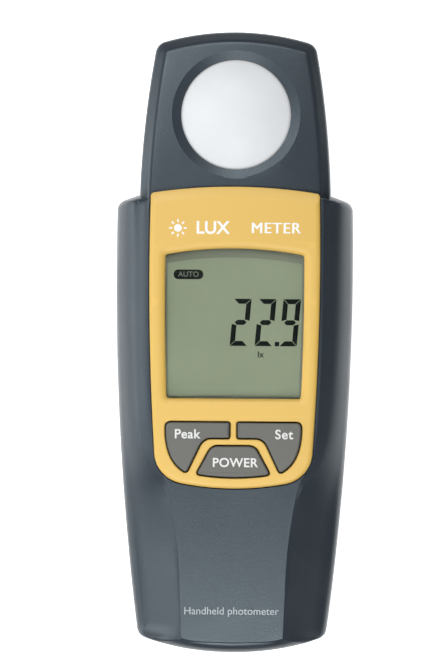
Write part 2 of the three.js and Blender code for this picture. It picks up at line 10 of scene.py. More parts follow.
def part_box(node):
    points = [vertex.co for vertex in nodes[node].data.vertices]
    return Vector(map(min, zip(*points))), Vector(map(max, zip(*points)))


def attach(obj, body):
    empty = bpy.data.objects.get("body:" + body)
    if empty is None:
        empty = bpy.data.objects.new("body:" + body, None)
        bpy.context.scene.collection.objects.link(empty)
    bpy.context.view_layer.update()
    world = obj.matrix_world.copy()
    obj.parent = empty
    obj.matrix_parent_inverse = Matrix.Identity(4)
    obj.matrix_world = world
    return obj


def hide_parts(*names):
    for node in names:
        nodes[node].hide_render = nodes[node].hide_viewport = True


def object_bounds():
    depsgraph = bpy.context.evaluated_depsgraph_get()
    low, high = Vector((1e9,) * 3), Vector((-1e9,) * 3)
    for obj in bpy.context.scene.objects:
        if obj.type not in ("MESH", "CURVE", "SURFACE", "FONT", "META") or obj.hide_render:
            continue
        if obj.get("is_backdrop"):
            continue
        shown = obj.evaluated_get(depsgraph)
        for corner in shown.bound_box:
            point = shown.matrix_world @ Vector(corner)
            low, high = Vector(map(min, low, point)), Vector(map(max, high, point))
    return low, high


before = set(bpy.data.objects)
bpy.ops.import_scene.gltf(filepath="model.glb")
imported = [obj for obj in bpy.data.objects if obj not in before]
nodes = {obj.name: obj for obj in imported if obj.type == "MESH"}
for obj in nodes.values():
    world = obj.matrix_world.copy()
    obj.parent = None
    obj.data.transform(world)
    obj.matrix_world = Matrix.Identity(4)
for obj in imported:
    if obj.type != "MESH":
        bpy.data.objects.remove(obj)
cad_low, cad_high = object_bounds()
MM = 0.001

# ------------------------------------------------------------------ levels and sizes, in millimetres


def level(node, end):
    """Lowest (0) or highest (1) Z of a CAD node."""
    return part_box(node)[end].z / MM


DOME_LOW, DOME_HIGH = (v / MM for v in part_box("sensor_dome"))
# the camera looks past the high dome from the middle of the body, so it stands a little lower here
DOME_Y = (DOME_LOW.y + DOME_HIGH.y) / 2 - 0.45
DOME_TOP = DOME_HIGH.z
DOME_RADIUS = 14.2
DOME_BORE = 14.3
FLANGE_RADIUS = 16.3
FLANGE_LOW, FLANGE_TOP = 19.5, 20.9
SEAT_RADIUS, SEAT_TOP = 16.7, 21.2
RING_RADIUS = 17.65
DISH_FLOOR = 23.52
PARTING_Z = 12.0  # where the two halves of the case meet
PARTING_GAP = 0.06
FACE_Z = level("front_case", 1)
HEAD_Z = FACE_Z - 0.4
RECESS_FLOOR = 23.8
GAP = 0.3  # round the faceplate, the keys and the battery door
WALL = 2.3
ABOVE = 40  # a height clear of everything
BEZEL_LOW = level("front_bezel", 0)
BEZEL_TOP = level("front_bezel", 1)
KEY_TOP = level("key_power", 1)
LCD_TOP = level("lcd_glass", 1)
SIDE_RADIUS = 737


def form(half, side_radius, side_y, top, bottom):
    """An outline with curved sides; top and bottom are (y, arc radius, corner radius)."""
    return {"half": half, "side_r": side_radius, "side_y": side_y, "top": top, "bottom": bottom}


BODY = form(31.05, SIDE_RADIUS, 20, (42.5, 79.6, 2.8), (-81, 77, 3))
HEAD = form(25.05, 258, 30.9, (81, 68, 3.5), (30, 900, 1))
BEZEL = form(22.25, SIDE_RADIUS - 8.35, 20, (40.5, 137, 1), (-38.1, 73, 8.5))
WINDOW = form(18.1, SIDE_RADIUS - 12.4, 15, (24.4, 97, 0.8), (-14.7, 3000, 0.8))


def corner_centre(a, b, r, up):
    """Centre of the circle of radius r that touches circles a and b (x, y, radius) from inside."""
    ra, rb = a[2] - r, b[2] - r
    dx, dy = b[0] - a[0], b[1] - a[1]
    d = math.hypot(dx, dy)
    along = (ra * ra - rb * rb + d * d) / (2 * d)
    across = math.sqrt(ra * ra - along * along)
    found = []
    for sign in (1, -1):
        x = a[0] + (along * dx - sign * across * dy) / d
        y = a[1] + (along * dy + sign * across * dx) / d
        if x > 0:
            found.append((x, y))
    return max(found, key=lambda p: up * p[1])


def arc(circle, start, end, steps):
    """Points of an arc on a circle (x, y, radius)."""
    return [(circle[0] + circle[2] * math.cos(start + (end - start) * i / steps),
             circle[1] + circle[2] * math.sin(start + (end - start) * i / steps))
            for i in range(steps + 1)]


def right_half(f, inset=0.0, fine=1.0):
    """The right-hand half of a form, from its top centre round to its bottom centre."""
    side = (f["half"] - f["side_r"], f["side_y"], f["side_r"] - inset)
    top = (0, f["top"][0] - f["top"][1], f["top"][1] - inset)
    bottom = (0, f["bottom"][0] + f["bottom"][1], f["bottom"][1] - inset)
    upper_r = max(f["top"][2] - inset, 0.3)
    lower_r = max(f["bottom"][2] - inset, 0.3)
    ux, uy = corner_centre(side, top, upper_r, 1)
    lx, ly = corner_centre(side, bottom, lower_r, -1)

    def seen_from(circle, x, y):
        return math.atan2(y - circle[1], x - circle[0])

    end_steps, corner_steps, side_steps = (max(2, round(count * fine)) for count in (14, 10, 30))
    points = arc(top, math.pi / 2, seen_from(top, ux, uy), end_steps)
    points += arc((ux, uy, upper_r), seen_from(top, ux, uy), seen_from(side, ux, uy), corner_steps)[1:]
    points += arc(side, seen_from(side, ux, uy), seen_from(side, lx, ly), side_steps)[1:]
    points += arc((lx, ly, lower_r), seen_from(side, lx, ly), seen_from(bottom, lx, ly), corner_steps)[1:]
    points += arc(bottom, seen_from(bottom, lx, ly), -math.pi / 2, end_steps)[1:]
    return points


def whole(right):
    """Adds the mirror image of a right-hand half."""
    return right + [(-p[0], *p[1:]) for p in reversed(right[1:-1])]


def outline(f, inset=0.0, fine=1.0):
    return whole(right_half(f, inset, fine))


# ------------------------------------------------------------------ making meshes


def new_object(name, mesh):
    piece = bpy.data.objects.new(name, mesh)
    bpy.context.collection.objects.link(piece)
    return piece


def mesh_from(name, points, faces):
    """Mesh object from points in millimetres."""
    mesh = bpy.data.meshes.new(name)
    mesh.from_pydata([[c * MM for c in p] for p in points], [], faces)
    mesh.validate()
    bm = bmesh.new()
    bm.from_mesh(mesh)
    bmesh.ops.remove_doubles(bm, verts=bm.verts, dist=1e-7)
    bmesh.ops.recalc_face_normals(bm, faces=bm.faces)
    bm.to_mesh(mesh)
    bm.free()
    return new_object(name, mesh)


def loft(name, rings):
    """Closed mesh through rings of equally many points, with a flat face on each end."""
    n = len(rings[0])
    points = [p for ring in rings for p in ring]
    faces = [list(range(n)), [len(points) - n + i for i in range(n)]]
    for k in range(len(rings) - 1):
        for i in range(n):
            j = (i + 1) % n
            faces.append([k * n + i, k * n + j, (k + 1) * n + j, (k + 1) * n + i])
    return mesh_from(name, points, faces)


def at_height(points, z):
    return [(p[0], p[1], z) for p in points]


def prism(name, points, low, high):
    return loft(name, [at_height(points, low), at_height(points, high)])


def lathe(name, profile, centre_y, steps=128):
    """Solid of revolution about Z from (radius, z) pairs; closed on the axis or on itself."""
    points, faces = [], []
    n = len(profile)
    for i in range(steps):
        a = 2 * math.pi * i / steps
        points += [(r * math.cos(a), centre_y + r * math.sin(a), z) for r, z in profile]
    for i in range(steps):
        j = (i + 1) % steps
        for k in range(n - 1):
            faces.append([i * n + k, j * n + k, j * n + k + 1, i * n + k + 1])
    return mesh_from(name, points, faces)


def apply_modifiers(piece):
    graph = bpy.context.evaluated_depsgraph_get()
    made = bpy.data.meshes.new_from_object(piece.evaluated_get(graph))
    piece.modifiers.clear()
    piece.data = made


def combine(piece, tools, operation="DIFFERENCE"):
    """Cuts the tools from a piece, or joins them to it, and removes them."""
    for tool in tools:
        modifier = piece.modifiers.new("combine", "BOOLEAN")
        modifier.operation = operation
        modifier.solver = "EXACT"
        modifier.object = tool
        apply_modifiers(piece)
        bpy.data.objects.remove(tool)
    return piece


def smooth(piece, degrees=32):
    """Smooth shading between edges sharper than this; level faces stay flat."""
    piece.data.shade_smooth()
    piece.data.set_sharp_from_angle(angle=math.radians(degrees))
    for face in piece.data.polygons:
        if abs(face.normal.z) > 0.99999:
            face.use_smooth = False
    return piece


def soft_plate(name, loops, low, high, edge, steps=3):
    """Flat plate with rounded edges: the first loop is its outline and the others are holes."""
    curve = bpy.data.curves.new(name, "CURVE")
    curve.dimensions = "2D"
    curve.fill_mode = "BOTH"
    for loop in loops:
        path = curve.splines.new("POLY")
        path.points.add(len(loop) - 1)
        for point, at in zip(path.points, loop):
            point.co = (at[0] * MM, at[1] * MM, 0, 1)
        path.use_cyclic_u = True
    curve.extrude = ((high - low) / 2 - edge) * MM
    curve.bevel_depth = edge * MM
    curve.bevel_resolution = steps
    curve.offset = -edge * MM
    holder = new_object(name + "_curve", curve)
    graph = bpy.context.evaluated_depsgraph_get()
    mesh = bpy.data.meshes.new_from_object(holder.evaluated_get(graph))
    bpy.data.objects.remove(holder)
    mesh.name = name
    mesh.transform(Matrix.Translation((0, 0, (low + high) / 2 * MM)))
    bm = bmesh.new()
    bm.from_mesh(mesh)
    bmesh.ops.remove_doubles(bm, verts=bm.verts, dist=2e-7)
    bmesh.ops.recalc_face_normals(bm, faces=bm.faces)
    bm.to_mesh(mesh)
    bm.free()
    return smooth(new_object(name, mesh))


def block(name, x0, x1, y0, y1, z0, z1):
    return prism(name, [(x0, y0), (x1, y0), (x1, y1), (x0, y1)], z0, z1)


def rod(name, x, y, radius, low, high, steps=40):
    ring = [(x + radius * math.cos(2 * math.pi * i / steps), y + radius * math.sin(2 * math.pi * i / steps))
            for i in range(steps)]
    return prism(name, ring, low, high)


# ------------------------------------------------------------------ materials


def linear(r, g, b):
    """Linear colour from 0-255 display values."""
    out = []
    for v in (r, g, b):
        v /= 255
        out.append(v / 12.92 if v <= 0.04045 else ((v + 0.055) / 1.055) ** 2.4)
    return (*out, 1)


def shade(colour, factor):
    return (*[min(1, c * factor) for c in colour[:3]], 1)


class Surface:
    """A node material on the Principled shader, with helpers for its patterns."""

    def __init__(self, name, rough=0.5, metal=0.0, specular=0.5):
        self.material = bpy.data.materials.new(name)
        self.material.use_nodes = True
        self.tree = self.material.node_tree
        self.shader = self.tree.nodes["Principled BSDF"]
        self.shader.inputs["Roughness"].default_value = rough
        self.shader.inputs["Metallic"].default_value = metal
        self.shader.inputs["Specular IOR Level"].default_value = specular
        self.place = self.tree.nodes.new("ShaderNodeTexCoord").outputs["Object"]

    def noise(self, scale, detail=3, stretch=None):
        node = self.tree.nodes.new("ShaderNodeTexNoise")
        node.inputs["Scale"].default_value = scale
        node.inputs["Detail"].default_value = detail
        source = self.place
        if stretch:
            mapping = self.tree.nodes.new("ShaderNodeMapping")
            mapping.inputs["Scale"].default_value = stretch
            self.tree.links.new(source, mapping.inputs["Vector"])
            source = mapping.outputs["Vector"]
        self.tree.links.new(source, node.inputs["Vector"])
        return node.outputs["Fac"]

    def ramp(self, value, stops):
        node = self.tree.nodes.new("ShaderNodeValToRGB")
        ramp = node.color_ramp
        while len(ramp.elements) < len(stops):
            ramp.elements.new(0.5)
        for element, (position, colour) in zip(ramp.elements, stops):
            element.position = position
            element.color = colour
        self.tree.links.new(value, node.inputs["Fac"])
        return node.outputs["Color"]

    def mix(self, factor, a, b):
        node = self.tree.nodes.new("ShaderNodeMix")
        node.data_type = "RGBA"
        for source, target in ((factor, 0), (a, 6), (b, 7)):
            if hasattr(source, "node"):
                self.tree.links.new(source, node.inputs[target])
            else:
                node.inputs[target].default_value = source
        return node.outputs[2]

    def colour(self, source):
        self.tree.links.new(source, self.shader.inputs["Base Color"])

    def roughness(self, value, low, high):
        node = self.tree.nodes.new("ShaderNodeMapRange")
        node.inputs["From Min"].default_value = 0.3
        node.inputs["From Max"].default_value = 0.7
        node.inputs["To Min"].default_value = low
        node.inputs["To Max"].default_value = high
        self.tree.links.new(value, node.inputs["Value"])
        self.tree.links.new(node.outputs["Result"], self.shader.inputs["Roughness"])

    def bump(self, value, depth, strength=1.0):
        node = self.tree.nodes.new("ShaderNodeBump")
        node.inputs["Distance"].default_value = depth
        node.inputs["Strength"].default_value = strength
        self.tree.links.new(value, node.inputs["Height"])
        self.tree.links.new(node.outputs["Normal"], self.shader.inputs["Normal"])

    def worn_edges(self, base, worn):
        """Slightly paler colour on sharp convex edges."""
        geometry = self.tree.nodes.new("ShaderNodeNewGeometry")
        mask = self.ramp(geometry.outputs["Pointiness"], [(0.52, (0, 0, 0, 1)), (0.6, (1, 1, 1, 1))])
        return self.mix(mask, base, worn)


def moulded(name, colour, rough, grain=2600, depth=0.00002, spread=0.06, specular=0.5, wear=0.15,
            tint=(1, 1, 1)):
    """Moulded plastic: fine pebble grain, faint mottling and paler edges."""
    s = Surface(name, rough, 0, specular)
    cloud = s.noise(60, 4)
    fine = s.noise(grain, 2)
    base = s.ramp(cloud, [(0.35, shade(colour, 1 - spread)), (0.65, shade(colour, 1 + spread))])
    speck = s.ramp(fine, [(0.3, shade(colour, 1 - 2 * spread)), (0.7, shade(colour, 1 + 2 * spread))])
    mixed = s.mix(0.5, base, speck)
    s.colour(s.worn_edges(mixed, shade(colour, 1 + wear)))
    s.roughness(cloud, rough - 0.05, rough + 0.05)
    s.bump(fine, depth)
    s.shader.inputs["Specular Tint"].default_value = (*tint, 1)
    return s.material


def metal(name, colour, rough=0.3, stretch=None):
    s = Surface(name, rough, 1)
    streaks = s.noise(900, 3, stretch or (1, 1, 0.1))
    s.colour(s.ramp(streaks, [(0.3, shade(colour, 0.85)), (0.7, shade(colour, 1.1))]))
    s.roughness(streaks, rough - 0.08, rough + 0.12)
    s.bump(streaks, 0.000008)
    return s.material


def printed(name, colour, rough=0.45, specular=0.4):
    s = Surface(name, rough, 0, specular)
    mottled = s.noise(1800, 3)
    s.colour(s.ramp(mottled, [(0.3, shade(colour, 0.9)), (0.7, colour)]))
    s.bump(mottled, 0.000004)
    return s.material


CASE = moulded("case_plastic", linear(44, 50, 57), 0.37, grain=2300, depth=0.00003, spread=0.08, wear=0.06,
               tint=(0.78, 0.93, 1.0))
AMBER = moulded("amber_faceplate", linear(203, 167, 83), 0.5, grain=3200, depth=0.00001, spread=0.012,
                wear=0.05)
KEY = moulded("key_plastic", linear(88, 88, 84), 0.55, grain=2200, depth=0.000018, spread=0.04, wear=0.12)
BLACK = moulded("black_plastic", linear(30, 31, 33), 0.5, spread=0.08)
WHITE = printed("legend_ink", linear(226, 227, 227))
KEY_INK = printed("key_legend_ink", linear(206, 208, 206))
GREY_INK = printed("grip_legend_ink", linear(160, 167, 171))
LCD_INK = printed("display_segment", linear(12, 18, 15), 0.5, 0.1)
LCD_CLEAR = printed("display_clear_figures", linear(92, 100, 86), 0.5)
# painted shadow: colour of a thin dark sheet laid on the display where the faceplate shades it
LCD_PAINTED_SHADOW = printed("display_painted_shadow", linear(106, 111, 94), 0.5)

lcd = Surface("display_glass", 0.5, 0, 0.1)
lcd_cloud = lcd.noise(28, 2)
lcd.colour(lcd.ramp(lcd_cloud, [(0.3, linear(126, 134, 113)), (0.7, linear(131, 140, 118))]))
lcd.bump(lcd.noise(4000, 1), 0.000002)
LCD = lcd.material

dome_surface = Surface("diffuser", 0.5, 0, 0.25)
dome_cloud = dome_surface.noise(90, 3)
dome_surface.colour(dome_surface.ramp(dome_cloud, [(0.3, linear(158, 162, 166)),
                                                   (0.7, linear(164, 168, 171))]))
# the glow stands in for the light that a translucent dome spreads inside itself
for socket, value in (("Emission Color", (1, 1, 1, 1)), ("Emission Strength", 0.36), ("Subsurface Weight", 0.4),
                      ("Subsurface Radius", (0.002, 0.002, 0.002)), ("Subsurface Scale", 1.0)):
    dome_surface.shader.inputs[socket].default_value = value
dome_surface.bump(dome_surface.noise(3000, 1), 0.000003)
DIFFUSER = dome_surface.material

clear = Surface("clear_window", 0.04, 0, 0.5)
clear.shader.inputs["Transmission Weight"].default_value = 1.0
clear.shader.inputs["IOR"].default_value = 1.1
clear.roughness(clear.noise(40, 2), 0.02, 0.06)
clear.colour(clear.ramp(clear.noise(20, 2), [(0.3, (0.96, 0.97, 0.96, 1)), (0.7, (0.99, 0.99, 0.99, 1))]))
CLEAR = clear.material

# ------------------------------------------------------------------ the case


def spline(knots, steps):
    """Points on a Catmull-Rom curve through the knots, `steps` to each span."""
    out = []
    for i in range(len(knots) - 1):
        p = [knots[max(0, i - 1)], knots[i], knots[i + 1], knots[min(len(knots) - 1, i + 2)]]
        for k in range(steps):
            t = k / steps
            out.append(tuple(0.5 * (2 * b + (c - a) * t + (2 * a - 5 * b + 4 * c - d) * t * t
                                    + (3 * b - a - 3 * c + d) * t ** 3) for a, b, c, d in zip(*p)))
    out.append(tuple(knots[-1]))
    return out


def along(points, marks, steps):
    """Walks a polyline between the points nearest to the marks, with `steps` even stretches to each."""
    index = [min(range(len(points)), key=lambda i: math.dist(points[i], m)) for m in marks]
    out = []
    for a, b in zip(index, index[1:]):
        stretch = points[a:b + 1]
        lengths = [0.0]
        for p, q in zip(stretch, stretch[1:]):
            lengths.append(lengths[-1] + math.dist(p, q))
        for k in range(steps):
            want = lengths[-1] * k / steps
            j = max(i for i in range(len(lengths)) if lengths[i] <= want + 1e-9)
            j = min(j, len(stretch) - 2)
            span = lengths[j + 1] - lengths[j]
            t = (want - lengths[j]) / span if span else 0
            out.append(tuple(p + (q - p) * t for p, q in zip(stretch[j], stretch[j + 1])))
    out.append(points[index[-1]])
    return out


# Each row is a station round the right-hand half: silhouette x y, crease x y z, face edge x y, and
# how flat the flank is there (0 rolls over all the way, 1 is a flat facet with a rounded foot).
STATIONS = [
    (0, 42.5, 0, 37.3, 23.2, 0, 38.0, 0),
    (25.5, 38.3, 23.4, 36.9, 23.2, 21.4, 37.8, 0),
    (28.6, 37.2, 24.9, 36.5, 23.2, 22.6, 37.3, 0),
    (30.1, 36.2, 25.45, 35.8, 23.2, 22.95, 36.0, 0.2),
    (30.5, 34.3, 25.5, 34.0, 23.2, 23.0, 34.0, 0.35),
    (30.7, 20, 25.5, 20, 23.2, 23.0, 20, 0.45),
    (30.5, 2, 25.4, 2, 23.2, 22.85, 2, 0.45),
    (29.9, -12, 24.95, -12, 23.2, 22.4, -12, 0.45),
    (29.3, -22, 24.4, -22, 23.2, 21.75, -22, 0.45),
    (28.9, -29, 23.4, -29, 23.25, 20.9, -29, 0.5),
    (28.5, -34, 21.3, -34, 23.4, 19.0, -33.6, 0.6),
    (28.2, -38, 18.2, -37.6, 23.9, 17.4, -36.8, 0.75),
    (27.9, -43, 16.4, -42.8, 24.6, 16.0, -42.3, 0.85),
    (27.3, -50, 15.1, -50, 24.8, 14.8, -50, 1),
    (26.5, -58, 14.3, -58, 24.85, 14.0, -58, 1),
    (25.4, -67.7, 13.9, -67.7, 24.85, 13.6, -67.7, 1),
    (24.6, -74, 13.65, -74, 24.85, 13.35, -74, 0.95),
    (23.9, -76.6, 13.5, -77.1, 24.75, 13.2, -76.6, 0.75),
    (20, -78.4, 13.0, -77.6, 24.7, 12.8, -77.2, 0.5),
    (12, -80.1, 9.0, -78.2, 24.8, 8.9, -77.9, 0.1),
    (0, -81, 0, -78.5, 24.8, 0, -78.2, 0),
]
STATION_STEPS = 6
FLANK_STEPS = 14
EASED = (6, 16)  # first and last station of the stretch that ease() evens out
EASE_PASSES = 50
FOOT_LIFT = [0] * 17 + [1.5, 5, 7.5, 7.5]  # how much higher the flank starts at each station
FLAT_FOOT = 0.4  # share of a flat flank's steps that goes into its rounded foot


def flank(t, flatness):
    """How far in and how far up the flank is at t: 0 at the silhouette, 1 at the crease."""
    rolled = (1 - math.cos(t * math.pi / 2), math.sin(t * math.pi / 2))
    if t < FLAT_FOOT:
        a = t / FLAT_FOOT * math.pi / 2
        lead = 0.05 * (t / FLAT_FOOT) ** 3
        flat = (0.17 * (1 - math.cos(a)) + lead, 0.26 * math.sin(a) + lead)
    else:
        u = (t - FLAT_FOOT) / (1 - FLAT_FOOT)
        flat = (0.22 + 0.78 * u, 0.31 + 0.69 * u)
    return tuple(r * (1 - flatness) + f * flatness for r, f in zip(rolled, flat))


def ease(rings):
    """Evens out the flank where it turns from the rolled sides into the facets of the grip."""
    first, last = EASED[0] * STATION_STEPS, EASED[1] * STATION_STEPS
    for k, ring in enumerate(rings):
        strength = 0.5 * math.sin(math.pi * (k + 1) / FLANK_STEPS)
        for _ in range(EASE_PASSES):
            before = list(ring)
            for i in range(first, last):
                middle = [(a + b) / 2 for a, b in zip(before[i - 1], before[i + 1])]
                ring[i] = tuple(c + (m - c) * strength for c, m in zip(before[i], middle))


def body_rings(low):
    """Rings of the body's front half, from the parting line over the flank to the flat face."""
    silhouette = right_half(BODY)
    outer = along(silhouette, [s[:2] for s in STATIONS], STATION_STEPS)
    crease = spline([s[2:5] for s in STATIONS], STATION_STEPS)
    edge = spline([s[5:7] for s in STATIONS], STATION_STEPS)
    flatness = [f[0] for f in spline([(s[7],) for s in STATIONS], STATION_STEPS)]
    crease[0] = (0, *crease[0][1:])
    foot_z = PARTING_Z + 1.2
    feet = [foot_z + lift[0] for lift in spline([(v,) for v in FOOT_LIFT], STATION_STEPS)]
    rings = [[(*o, low) for o in outer], [(*o, foot) for o, foot in zip(outer, feet)]]
    for k in range(1, FLANK_STEPS + 1):
        ring = []
        for o, c, f, foot in zip(outer, crease, flatness, feet):
            inwards, up = flank(k / FLANK_STEPS, min(max(f, 0), 1))
            ring.append((o[0] + (c[0] - o[0]) * inwards, o[1] + (c[1] - o[1]) * inwards,
                         foot + (c[2] - foot) * up))
        rings.append(ring)
    ease(rings[2:])
    for share, drop in ((0.5, 0.5), (0.9, 0.1), (1.0, 0.02)):
        rings.append([(c[0] + (e[0] - c[0]) * share, c[1] + (e[1] - c[1]) * share,
                       FACE_Z - (FACE_Z - c[2]) * drop) for c, e in zip(crease, edge)])
    rings.append([(e[0] * 0.985, e[1] - math.copysign(0.35, e[1]), FACE_Z) for e in edge])
    return [whole(r) for r in rings]


# height and inset of each ring up to the head's bevel
HEAD_FOOT = [(20.4, 0), (20.8, 0.03), (21.15, 0.1), (21.45, 0.21), (21.7, 0.34), (21.9, 0.49),
             (22.07, 0.65), (23.79, 1.8)]
HEAD_ROUNDING = (49, 42, 35, 28, 21, 14, 7, 2)  # slopes in degrees where the bevel turns into the face
ROUNDING_STEP = 0.2
HEAD_FACE = (5.5, 7.5, 10, 13)  # insets of the rings on the face
CROWN = 0.55  # fall of the face at this distance from the dome's centre
CROWN_REACH = 21
CROWN_START, CROWN_RISE = 22.05, 1.9  # the fall fades out down the bevel


def head_levels():
    levels = list(HEAD_FOOT)
    for slope in HEAD_ROUNDING:
        z, inset = levels[-1]
        levels.append((z + ROUNDING_STEP * math.tan(math.radians(slope)), inset + ROUNDING_STEP))
    return levels + [(levels[-1][0], inset) for inset in HEAD_FACE]


def crown(x, y, z):
    """Height after the head's face has been made slightly convex."""
    share = min(max((z - CROWN_START) / CROWN_RISE, 0), 1)
    rise = max(y - DOME_Y, -CROWN_REACH)
    return z - share * CROWN * (x * x + rise * rise) / CROWN_REACH ** 2


def head_rings(low):
    rings = [at_height(outline(HEAD, 0), low)]
    for z, inset in head_levels():
        rings.append([(x, y, crown(x, y, z)) for x, y in outline(HEAD, inset)])
    return rings


def ring_cutter():
    """Everything the case leaves free for the diffuser: dish, bore and the seat of its flange."""
    return lathe("ring_cutter", [
        (0, 32), (RING_RADIUS + 1.0, 32), (RING_RADIUS + 1.0, HEAD_Z + 1.0), (RING_RADIUS + 0.6, HEAD_Z + 0.1),
        (RING_RADIUS - 0.1, HEAD_Z - 0.1), (DOME_BORE + 0.06, DISH_FLOOR + 0.02),
        (DOME_BORE, DISH_FLOOR - 0.1), (DOME_BORE, SEAT_TOP), (SEAT_RADIUS, SEAT_TOP), (SEAT_RADIUS, 10),
        (0, 10)], DOME_Y)


CAVITY_LOW = 5
BODY_ROOF, HEAD_ROOF, GRIP_ROOF = 19.2, 20.4, 14.6
GRIP_START = -21  # below this the facets leave less room, and the grip has a cavity of its own
low_edge = PARTING_Z + PARTING_GAP
front = loft("case_front", body_rings(low_edge))
front = combine(front, [loft("case_head", head_rings(low_edge))], "UNION")
upper_cavity = prism("cavity_body", outline(BODY, WALL, 0.4), CAVITY_LOW, BODY_ROOF)
combine(upper_cavity, [block("grip_side", -40, 40, -90, GRIP_START, 0, 30)])
combine(front, [upper_cavity, prism("cavity_head", outline(HEAD, WALL, 0.4), CAVITY_LOW, HEAD_ROOF)])


def quad(a, b, c, steps=8):
    """Points of a quadratic curve from a to c pulled towards b, without the first."""
    out = []
    for i in range(1, steps + 1):
        t = i / steps
        out.append(tuple(p * (1 - t) ** 2 + q * 2 * t * (1 - t) + r * t * t for p, q, r in zip(a, b, c)))
    return out


def cubic(a, b, c, d, steps=16):
    out = []
    for i in range(1, steps + 1):
        t = i / steps
        out.append(tuple(p * (1 - t) ** 3 + q * 3 * t * (1 - t) ** 2 + r * 3 * t * t * (1 - t) + s * t ** 3
                         for p, q, r, s in zip(a, b, c, d)))
    return out


def leg_key(side):
    """Outline of an upper key: a bar that curves down into a tapering leg."""
    right = [(1.6, -20.9), (16.2, -20.9)]
    right += quad((16.2, -20.9), (17.65, -20.9), (17.65, -22.4))
    right += cubic((17.65, -22.4), (17.65, -28), (16.1, -31.6), (13.0, -33.6))
    right += quad((13.0, -33.6), (12.2, -34.1), (11.8, -33.3))
    right += [(9.1, -27.6)]
    right += quad((9.1, -27.6), (8.0, -25), (5.7, -25))
    right += [(1.6, -25)]
    right += quad((1.6, -25), (1.05, -25), (1.05, -24.45))
    right += [(1.05, -21.45)]
    right += quad((1.05, -21.45), (1.05, -20.9), (1.6, -20.9))[:-1]
    points = [(side * x, y) for x, y in right]
    return points if side < 0 else points[::-1]


def power_key():
    half = quad((3.9, -27.06), (5.7, -27.06), (6.5, -28.7), 10) + [(9.15, -33.6)]
    half += quad((9.15, -33.6), (9.5, -34.4), (8.7, -34.55))
    bottom = quad((8.7, -34.55), (0, -35.85), (-8.7, -34.55), 24)[:-1]
    left = [(-x, y) for x, y in reversed([(3.9, -27.06)] + half)]
    return ([(3.9, -27.06)] + half + bottom + left)[::-1]


def offset(points, distance):
    """Moves a counter-clockwise outline outwards."""
    out = []
    n = len(points)
    for i in range(n):
        before, here, after = points[i - 1], points[i], points[(i + 1) % n]
        d1 = Vector((here[0] - before[0], here[1] - before[1])).normalized()
        d2 = Vector((after[0] - here[0], after[1] - here[1])).normalized()
        normal = Vector((d1.y + d2.y, -d1.x - d2.x))
        normal.normalize()
        scale = distance / max(0.5, normal.dot(Vector((d1.y, -d1.x))))
        out.append((here[0] + normal.x * scale, here[1] + normal.y * scale))
    return out


def area(points):
    return sum(a[0] * b[1] - b[0] * a[1] for a, b in zip(points, points[1:] + points[:1])) / 2


def anticlockwise(points):
    return points if area(points) > 0 else points[::-1]


KEYS = {
    "key_unit": anticlockwise(leg_key(-1)),
    "key_func": anticlockwise(leg_key(1)),
    "key_power": anticlockwise(power_key()),
}
KEY_BODY = {"key_unit": "unit_button", "key_func": "func_button", "key_power": "power_button"}
KEY_FLANGE, KEY_FLANGE_TOP = 0.8, 21.7
POCKET_SIDE, POCKET_TOP = 1.2, 22.1

# the openings of the front half
cutters = [
    ring_cutter(),
    prism("cavity_grip", [(-24.5, -20.5), (-20, -77), (20, -77), (24.5, -20.5)], CAVITY_LOW, GRIP_ROOF),
    prism("recess", outline(BEZEL, -GAP), RECESS_FLOOR, ABOVE),
    prism("window_opening", outline(WINDOW, -2), 15, ABOVE),
]
cutters += [prism("key_opening", offset(points, GAP), 14, ABOVE) for points in KEYS.values()]
cutters += [prism("key_pocket", offset(points, POCKET_SIDE), 14, POCKET_TOP) for points in KEYS.values()]
combine(front, cutters)
smooth(front, 14)
front.name = "case_front_shell"


def place(piece, body, material, slot, *replaced):
    """Gives a piece its material, the body that it rides on and the CAD nodes it stands for; slot is not used.
    """
    piece.data.materials.clear()
    piece.data.materials.append(material)
    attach(piece, body)
    if replaced:
        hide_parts(*replaced)
    return piece


place(front, "case", CASE, "case_plastic", "front_case")

# ------------------------------------------------------------------ the rear half
# height and inset of each ring round the edge of the back
BACK_LEVELS = [(0.0, 3.4), (0.0, 2.6), (0.06, 2.1), (0.3, 1.45), (0.75, 0.85), (1.4, 0.38), (2.2, 0.1),
               (3.2, 0.0)]
rear_top = PARTING_Z - 0.15


def back_shape(f, name, inset=0.0, low=0.0, high=rear_top):
    """A form with the rounded edge of the back, drawn in by the inset."""
    rings = [at_height(outline(f, i + inset), z + low) for z, i in BACK_LEVELS]
    return loft(name, rings + [at_height(outline(f, inset), high)])


REAR_WALL, REAR_FLOOR = 2.0, 1.8
BOSS_RADIUS, WELL_RADIUS, SHANK_RADIUS = 3.3, 2.6, 1.5
DOOR_HALF = 16.7
BAY_HALF = 18.8
BAY_LOW, BAY_HIGH = -75.0, -26.5
BAY_WALL = 1.2
BAY_TOP, BAY_ROOM_TOP = 14.1, 12.9
RAIL_WAY_TOP = 3.6
BELOW = -1  # a height below the object
door_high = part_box("battery_door")[1] / MM

